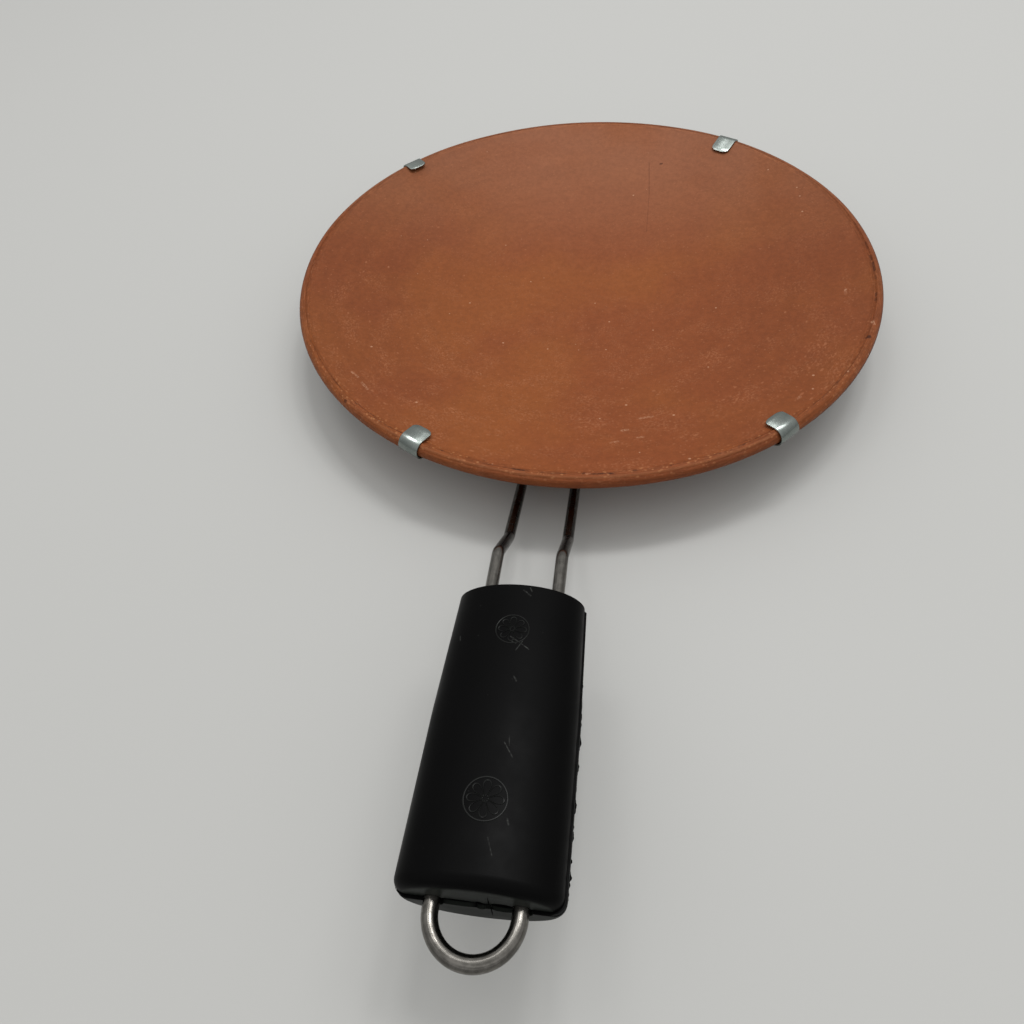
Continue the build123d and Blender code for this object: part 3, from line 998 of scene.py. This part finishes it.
net, taken, given = new_group("grain", ["Vector"], ["Size", "Rough"])
scale = net.calculate("DIVIDE", 1.0, taken["Size"])
clouds = {"Vector": taken["Vector"], "Scale": scale, "Detail": 3.0, "Roughness": taken["Rough"]}
net.fill(given, {"Result": net.add("TexNoise", clouds).outputs["Fac"]})
GRAIN = net.tree

SPECK_SIZES = (0.45, 1.2)
SPECK_FADES_FROM = 0.55
net, taken, given = new_group("specks", ["Vector"], ["Spacing", "Radius", "Share"])
scale = net.calculate("DIVIDE", 1.0, taken["Spacing"])
cells = net.add("TexVoronoi", {"Vector": taken["Vector"], "Scale": scale}).outputs
cell_random = net.add("SeparateColor", {"Color": cells["Color"]}).outputs
cell_radius = net.calculate("DIVIDE", taken["Radius"], taken["Spacing"])
own_radius = net.times(cell_radius, net.remap(cell_random[1], 0, 1, *SPECK_SIZES))
fades_from = net.times(own_radius, SPECK_FADES_FROM)
disc = net.remap(cells["Distance"], fades_from, own_radius, 1.0, 0.0, ease="LINEAR")
chosen = net.calculate("LESS_THAN", cell_random[0], taken["Share"])
net.fill(given, {"Result": net.times(disc, chosen)})
SPECKS = net.tree

net, taken, given = new_group("scratch", ["Vector", "Start", "End"], ["Half Width"])
from_start = net.vector("SUBTRACT", taken["Vector"], taken["Start"])
whole = net.vector("SUBTRACT", taken["End"], taken["Start"])
dot_part = net.vector("DOT_PRODUCT", from_start, whole)
dot_whole = net.vector("DOT_PRODUCT", whole, whole)
share = net.calculate("DIVIDE", dot_part, dot_whole, clamp=True)
nearest = net.vector("SCALE", whole, scale=share)
miss = net.vector("LENGTH", net.vector("SUBTRACT", from_start, nearest))
worn_off = net.calculate("DIVIDE", miss, taken["Half Width"])
net.fill(given, {"Result": net.calculate("SUBTRACT", 1.0, worn_off, clamp=True)})
SCRATCH = net.tree


def grain(finish, place, size, rough=0.5):
    """Cloudy noise about a half, with clouds of a size in millimetres."""
    feeds = {"Vector": place, "Size": size * MM, "Rough": rough}
    return finish.add("Group", feeds, node_tree=GRAIN).outputs[0]


def specks(finish, place, spacing, radius, share):
    """A sprinkling of discs, spaced and sized in millimetres, in a share of the places."""
    feeds = {"Vector": place, "Spacing": spacing * MM, "Radius": radius * MM, "Share": share}
    return finish.add("Group", feeds, node_tree=SPECKS).outputs[0]


def scratch(finish, place, start, end, half_width):
    """A straight mark between two points in metres, fading over half its width in millimetres."""
    feeds = {"Vector": place, "Start": start, "End": end, "Half Width": half_width * MM}
    return finish.add("Group", feeds, node_tree=SCRATCH).outputs[0]


# %% [markdown]
# ## Fired clay
#
# Unglazed clay is matt and never one colour. This one is a warm brown with redder clouds. The
# last turn on the wheel left faint streaks round the dish, and pale dust and grit show more
# towards the front edge. A few dark pits sit along the step inside the rim. The streaks need to
# run round the plate, so they are laid on coordinates of their own: the direction from the
# middle, and how far along the profile the point lies, which the mesh carries as an attribute.

# %% The clay's own coordinates and patterns
# The pink stands for sheen, painted over the rear of the dish.
CLAY_BROWN, CLAY_RED, CLAY_SHEEN_PINK = screen(138, 77, 39), screen(131, 70, 38), screen(142, 89, 62)
CLAY_PALE, CLAY_DUST, CLAY_GOLD = screen(168, 108, 74), screen(214, 168, 136), screen(182, 122, 80)
# The dark colour is painted shade under the crease, and the pit colour also paints shade on the roll.
CLAY_SHADE, CLAY_PIT_AND_SHADE = screen(96, 50, 30), screen(58, 28, 18)

clay = Finish("fired_clay")
to_middle = {"Vector": clay.place, "Location": (-PLATE_MIDDLE.x, -PLATE_MIDDLE.y, 0)}
centred = clay.add("Mapping", to_middle).outputs["Vector"]
flat_place = clay.vector("MULTIPLY", centred, (1, 1, 0))
direction = clay.vector("NORMALIZE", flat_place)
across_mm = clay.attribute(ACROSS)


def round_place(drawn_out):
    """Coordinates on which a pattern is drawn out round the plate, where it is by more than 1."""
    if drawn_out == 1:
        return centred
    around = clay.vector("SCALE", direction, scale=PLATE_R * MM / drawn_out)
    up = clay.add("CombineXYZ", {"Z": clay.times(across_mm, MM)}).outputs["Vector"]
    return clay.vector("ADD", around, up)


def pattern(size, rough, low, high, to_low=0.0, to_high=1.0, drawn_out=1):
    """Grain of a size in millimetres, between two of its levels."""
    return clay.remap(grain(clay, round_place(drawn_out), size, rough), low, high, to_low, to_high)


def grit(spacing, radius, share, drawn_out=1):
    """Specks on the clay, spaced and sized in millimetres."""
    return specks(clay, round_place(drawn_out), spacing, radius, share)


def near(value, middle, half, core=0.3):
    """1 about a place, as far as a share of half a width, and falling to 0 at half the width."""
    return clay.remap(clay.calculate("ABSOLUTE", clay.minus(value, middle)), half, half * core)


def shaded(colour, shade):
    """A colour made lighter by a share of itself, or darker by a share below 0."""
    return clay.add("HueSaturation", {"Color": colour, "Value": clay.plus(shade, 1.0)}).outputs["Color"]


def lay_over(colour, *layers):
    """Colours laid one over the other, each as much as its mask and its strength say."""
    for mask, strength, tint in layers:
        colour = clay.blend(clay.times(mask, strength), colour, tint)
    return colour


# %% The dish
toward_rear = clay.part_of(centred, "Y")
front_share = clay.remap(toward_rear, 60 * MM, -120 * MM)
# Painted sheen: towards the rear the brown turns paler and pinker, in soft clouds.
rear_sheen = clay.times(clay.remap(toward_rear, 0.0, 110 * MM), pattern(60, 0.5, 0.3, 0.6, 0.45, 1))
colour = clay.blend(pattern(46, 0.4, 0.35, 0.65), CLAY_BROWN, CLAY_RED)
colour = clay.blend(rear_sheen, colour, CLAY_SHEEN_PINK)
mottle = pattern(2.2, 0.75, 0.3, 0.7, -1, 1)
turned = pattern(4.5, 0.6, 0.3, 0.7, -1, 1, drawn_out=12)
to_side = clay.remap(clay.calculate("ABSOLUTE", clay.part_of(centred, "X")), 20 * MM, 110 * MM, 0, 0.13)
shade = clay.minus(clay.plus(clay.times(mottle, 0.075), clay.times(turned, 0.028)), to_side)
dusty = clay.times(
    pattern(11, 0.6, 0.42, 0.7, drawn_out=2.2),
    pattern(0.8, 0.75, 0.46, 0.7, drawn_out=1.8),
    clay.remap(front_share, 0, 1, 0.25, 0.75),
)
# The grit gets denser towards the front edge
fine_grit = grit(1.7, 0.42, clay.remap(front_share, 0, 1, 0.25, 0.8))
drawn_grit = grit(3.1, 0.5, clay.remap(front_share, 0, 1, 0.2, 0.7), drawn_out=2.4)
bright_grit = grit(6.5, 0.5, clay.remap(front_share, 0, 1, 0.3, 0.6))
colour = clay.blend(dusty, shaded(colour, shade), CLAY_PALE)
colour = lay_over(
    colour,
    (fine_grit, 0.3, CLAY_PALE),
    (drawn_grit, 0.42, CLAY_PALE),
    (bright_grit, 0.45, CLAY_DUST),
)

# %% [markdown]
# The rolled edge was smoothed with a wet finger and then scraped, so it is streaked along its
# length. Along the step inside it runs a dark line, which breaks off here and there. At the
# front a highlight is painted on the crease's crest, and shade on the roll under it. Shade is
# also painted on the outside of the roll, reaching higher up it towards the rear.

# %% The rim
# Painted shade on the outside of the roll, reaching higher up it towards the rear
RIM_SHADE_ROUND = 50
RIM_SHADE_TO_REAR, RIM_SHADE_TO_FRONT = rim_r * math.radians(33), rim_r * math.radians(70)
FRONTWARD = (0.03, -1, 0)


def on_roll(degrees):
    """How far across the profile a direction round the rim's roll lies, in millimetres."""
    return flank_to + rim_r * math.radians(degrees - flank_slope + 90)


crease_at = on_roll(CREASE_ROUND)
facing_front = clay.vector("DOT_PRODUCT", direction, FRONTWARD)
on_front = clay.remap(facing_front, 0.68, 0.86)
# At the front: a painted highlight on the crease's crest, and painted shade on the roll under it.
crest_highlight = clay.times(near(across_mm, crease_at + 0.75, 0.75), on_front)
under_crease_shade = clay.times(clay.remap(across_mm, crease_at + 0.3, crease_at - 0.3), on_front)
step_place = clay.plus(across_mm, pattern(2.5, 0.6, 0.3, 0.7, -0.45, 0.45, drawn_out=3))
step_line = clay.times(
    near(step_place, rim_to + 0.3, 0.7),
    pattern(1.5, 0.7, 0.42, 0.56, drawn_out=5),
    clay.remap(pattern(9, 0.5, 0.40, 0.54, drawn_out=2), 0, 1, 0.5, 1),
    clay.remap(facing_front, 0.35, 0.8, 0.12, 1),
)
edge_grit = clay.times(
    grit(1.15, 0.42, 0.7, drawn_out=1.6),
    near(across_mm, rim_to - 0.2, 4.4),
    clay.remap(facing_front, 0.3, 0.85, 0.1, 0.85),
)
edge_pits = clay.times(
    grit(2.6, 0.72, 0.5, drawn_out=1.5),
    near(across_mm, rim_to + 1.0, 1.9),
    clay.remap(facing_front, 0.3, 0.8, 0.08, 0.8),
)
band = clay.times(
    clay.remap(across_mm, flank_to + 2, flank_to + 4),
    clay.remap(across_mm, step_to + 3.5, step_to),
)
scraped = clay.times(pattern(0.8, 0.8, 0.36, 0.64, -1, 1, drawn_out=9), band)
scrape_marks = clay.times(pattern(1.1, 0.8, 0.58, 0.72, drawn_out=9), band)
rearward = clay.part_of(direction, "Y")
# The outside of the roll is painted dark as shade, though not at the very front.
rim_shade_side = on_roll(RIM_SHADE_ROUND)
rim_shade_tops = [clay.plus(clay.times(rearward, rise), rim_shade_side) for rise in (RIM_SHADE_TO_REAR, RIM_SHADE_TO_FRONT)]
below_rim_shade = clay.minus(clay.calculate("MINIMUM", *rim_shade_tops), across_mm)
painted_rim_shade = clay.times(clay.remap(below_rim_shade, 0, 0.6), clay.remap(rearward, -0.9, -0.6))

# %% [markdown]
# Single marks on the dish are placed one by one: holes and fine lines that are darker than the
# clay, and nicks that show its paler inside. Each has its two ends in millimetres from the middle,
# half its width, and its strength.

# %% Single marks, and the clay put together
CLAY_HOLES = (
    ((114.0, -46.2), (114.5, -45.9), 1.25, 1.0),
    ((121.5, 16.0), (122.0, 11.5), 0.5, 0.45),
    ((122.3, 6.5), (122.5, 3.5), 0.6, 0.6),
    ((122.6, 1.5), (122.6, -4.0), 0.55, 0.75),
    ((122.4, -7.5), (122.2, -9.5), 0.55, 0.5),
    ((121.1, -18.8), (120.8, -20.6), 0.6, 0.6),
    ((120.3, -22.2), (120.1, -23.4), 0.6, 0.5),
    ((34.0, 90.8), (34.5, 90.9), 0.9, 0.8),
    ((9.3, -121.2), (9.8, -120.6), 0.8, 0.8),
    ((-84.6, -90.4), (-85.2, -89.9), 0.7, 0.8),
    ((28.2, 92.0), (28.9, 70.0), 0.45, 0.30),
    ((28.9, 70.0), (28.4, 43.0), 0.35, 0.22),
)
CLAY_NICKS = (
    ((-87.4, -72.0), (-84.3, -74.6), 0.75, 0.6),
    ((-81.9, -77.7), (-78.6, -81.2), 0.75, 0.7),
    ((110.4, -14.9), (110.8, -12.8), 0.8, 0.6),
    ((117.4, -38.4), (117.0, -36.6), 0.8, 0.9),
    ((28.5, -86.5), (33.3, -85.2), 0.9, 0.45),
    ((22.0, -94.3), (24.0, -93.7), 0.9, 0.5),
    ((18.0, -101.8), (20.6, -101.1), 0.8, 0.45),
    ((27.8, -98.5), (29.9, -98.0), 0.7, 0.5),
    ((85.0, -78.9), (86.4, -77.8), 0.9, 0.5),
    ((10.6, -121.0), (11.6, -120.8), 0.8, 0.8),
)


def marks_on_dish(marks):
    """One mask of all marks of a list. Height is left out, so that a mark lies on the dish."""
    total = 0.0
    for start, end, half_width, strength in marks:
        ends = (Vector((*start, 0)) * MM, Vector((*end, 0)) * MM)
        mask = clay.remap(scratch(clay, flat_place, *ends, half_width), 0, 0.7)
        total = clay.calculate("MAXIMUM", total, clay.times(mask, strength))
    return clay.times(total, clay.remap(across_mm, flank_to + 4, flank_to + 6))


pits = clay.calculate("MAXIMUM", edge_pits, marks_on_dish(CLAY_HOLES))
nicks = clay.times(marks_on_dish(CLAY_NICKS), pattern(0.9, 0.8, 0.4, 0.62, 0.05, 1))
colour = lay_over(
    shaded(colour, clay.times(scraped, 0.15)),
    (scrape_marks, 0.5, CLAY_PALE),
    (edge_grit, 0.75, CLAY_GOLD),
    (step_line, 0.85, CLAY_PIT_AND_SHADE),
    # The next two layers are a painted highlight on the crest and painted shade under the crease.
    (crest_highlight, 0.35, CLAY_PALE),
    (under_crease_shade, 0.3, CLAY_SHADE),
    # Painted shade on the outside of the roll.
    (painted_rim_shade, 0.7, CLAY_PIT_AND_SHADE),
    (nicks, 0.65, CLAY_DUST),
    (pits, 0.85, CLAY_PIT_AND_SHADE),
)
clay.surface({"Base Color": colour, "Roughness": 0.55, "Specular IOR Level": 0.12})
relief = clay.minus(grain(clay, centred, 0.9, 0.75), clay.times(pits, 2.0))
clay.bump(clay.plus(relief, clay.times(scraped, 0.5)), 0.5, 0.15)
clay.put_on(plate)

# %% [markdown]
# ## Steel
#
# The straps are cut from dull tinned sheet whose rolling marks run along them, and the wire is
# bright drawn wire. Both are bare metal. What differs is the roughness and which way it is drawn.

# %% Steel finishes
DRAWN_OUT = 24
ROLLED_LINE, STEEL_PATCH, LINE_SHARE = 0.3, 3, 0.45


def make_steel(name, dark, light, smooth, rough, relief):
    """Bare steel with fine lines drawn out along the piece's own length."""
    steel = Finish(name)
    drawn = {"X": steel.attribute(DRAWN_X), "Y": steel.attribute(DRAWN_Y)}
    across_piece = steel.vector("SCALE", steel.add("CombineXYZ", drawn).outputs["Vector"], scale=MM)
    slow = steel.vector("SCALE", steel.place, scale=1 / DRAWN_OUT)
    lines = grain(steel, steel.vector("ADD", across_piece, slow), ROLLED_LINE, 0.6)
    patches = grain(steel, steel.place, STEEL_PATCH, 0.7)
    both = steel.plus(steel.times(lines, LINE_SHARE), steel.times(patches, 1 - LINE_SHARE))
    steel.surface({
        "Base Color": steel.blend(steel.remap(both, 0.36, 0.64), dark, light),
        "Roughness": steel.remap(both, 0.34, 0.66, rough, smooth),
        "Metallic": 1,
    })
    steel.bump(both, relief, 0.04)
    return steel


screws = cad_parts["grip_screws"]
# Name, dark and light colour, least and most roughness, relief, and the pieces that have it
STEELS = (
    ("strap_sheet", screen(122, 129, 125), screen(138, 144, 140), 0.23, 0.30, 0.05, straps),
    ("drawn_wire", screen(88, 86, 82), screen(124, 121, 116), 0.16, 0.30, 0.7, [wire]),
    ("screw_zinc", screen(150, 152, 148), screen(188, 190, 182), 0.28, 0.42, 0.25, [screws]),
)
for *look, pieces in STEELS:
    make_steel(*look).put_on(*pieces)
for strap in straps:
    straps_only.objects.link(strap)

# %% [markdown]
# ## Black plastic
#
# The grip is a hard black moulding with a dull skin. Handling has left it a little greasy in
# patches, with dust and a few pale scratches. The raised flowers and the lip are painted a little
# brighter as highlight. The end face is painted lighter as sheen, except along the parting line,
# which is left black as painted shade in the slit.

# %% Plastic finish
BLACK = (0.0016, 0.0016, 0.0017, 1)
# A lighter black, painted as highlight on the flowers and the lip.
BLACK_HIGHLIGHT = (0.0035, 0.004, 0.0035, 1)
# A painted sheen for the end face.
BLACK_END_SHEEN = (0.013, 0.015, 0.013, 1)
GREY_MARK = screen(120, 122, 118)
# Two ends of each scratch, across and along the grip, half its width, and its strength
GRIP_MARKS = (
    ((-0.5, 18.5), (5.0, 22.0), 0.22, 0.5),
    ((4.2, 17.2), (1.5, 22.8), 0.16, 0.35),
    ((-0.7, 19.8), (1.2, 20.6), 0.2, 0.4),
    ((1.3, 2.3), (3.4, 4.0), 0.3, 0.45),
    ((3.0, 1.2), (3.6, 2.4), 0.25, 0.3),
    ((2.2, 49.7), (4.7, 53.3), 0.2, 0.35),
    ((3.2, 47.9), (3.5, 50.4), 0.16, 0.25),
    ((2.1, 30.9), (2.9, 32.2), 0.3, 0.25),
    ((5.5, 68.4), (5.9, 69.6), 0.3, 0.35),
    ((1.7, 73.2), (3.2, 77.0), 0.2, 0.25),
    ((-15.3, 17.2), (-15.0, 18.6), 0.3, 0.25),
)


def make_plastic(name, gloss, smooth, rough):
    """Hard moulding, a little greasy in patches, that has no colour yet."""
    plastic = Finish(name)
    greasy = plastic.remap(grain(plastic, plastic.place, 14, 0.6), 0.3, 0.7, smooth, rough)
    plastic.surface({"Specular IOR Level": gloss, "Roughness": greasy})
    plastic.bump(grain(plastic, plastic.place, 0.5, 0.7), 0.2, 0.05)
    return plastic


plastic = make_plastic("black_moulding", 0.05, 0.34, 0.46)
to_comal = grip_matrix()
from_front = plastic.vector("SUBTRACT", plastic.place, to_comal.translation)
along_m = plastic.vector("DOT_PRODUCT", from_front, along_grip)
height_m = plastic.vector("DOT_PRODUCT", from_front, up_from_grip)
# Painted sheen on the end face, kept off the parting line, which stays black as the slit's shade
end_face = plastic.remap(along_m, (GRIP_L - 0.2) * MM, (GRIP_L - 0.04) * MM)
off_parting = plastic.remap(plastic.calculate("ABSOLUTE", height_m), 0.25 * MM, 0.6 * MM)
black = plastic.blend(plastic.times(end_face, off_parting), BLACK, BLACK_END_SHEEN)
pale = 0.0
for start, end, half_width, strength in GRIP_MARKS:
    ends = [to_comal @ (Vector((x, arch_height(x, along), along)) * MM) for x, along in (start, end)]
    pale = plastic.plus(pale, plastic.times(scratch(plastic, plastic.place, *ends, half_width), strength))
pale = plastic.times(pale, plastic.remap(grain(plastic, plastic.place, 0.8, 0.7), 0.35, 0.65, 0.1, 0.8))
dust = plastic.times(specks(plastic, plastic.place, 3.2, 0.2, 0.5), 0.08)
pale = plastic.calculate("ADD", pale, dust, clamp=True)
plastic.surface({"Base Color": plastic.blend(pale, black, GREY_MARK)})
plastic.put_on(shell_top, shell_bottom, *fins)

# The flowers and the lip: a painted highlight in a lighter black, and a little more gloss.
highlight_moulding = make_plastic("relief_highlight", 0.18, 0.3, 0.42)
highlight_moulding.surface({"Base Color": BLACK_HIGHLIGHT})
highlight_moulding.put_on(*flowers, lip)
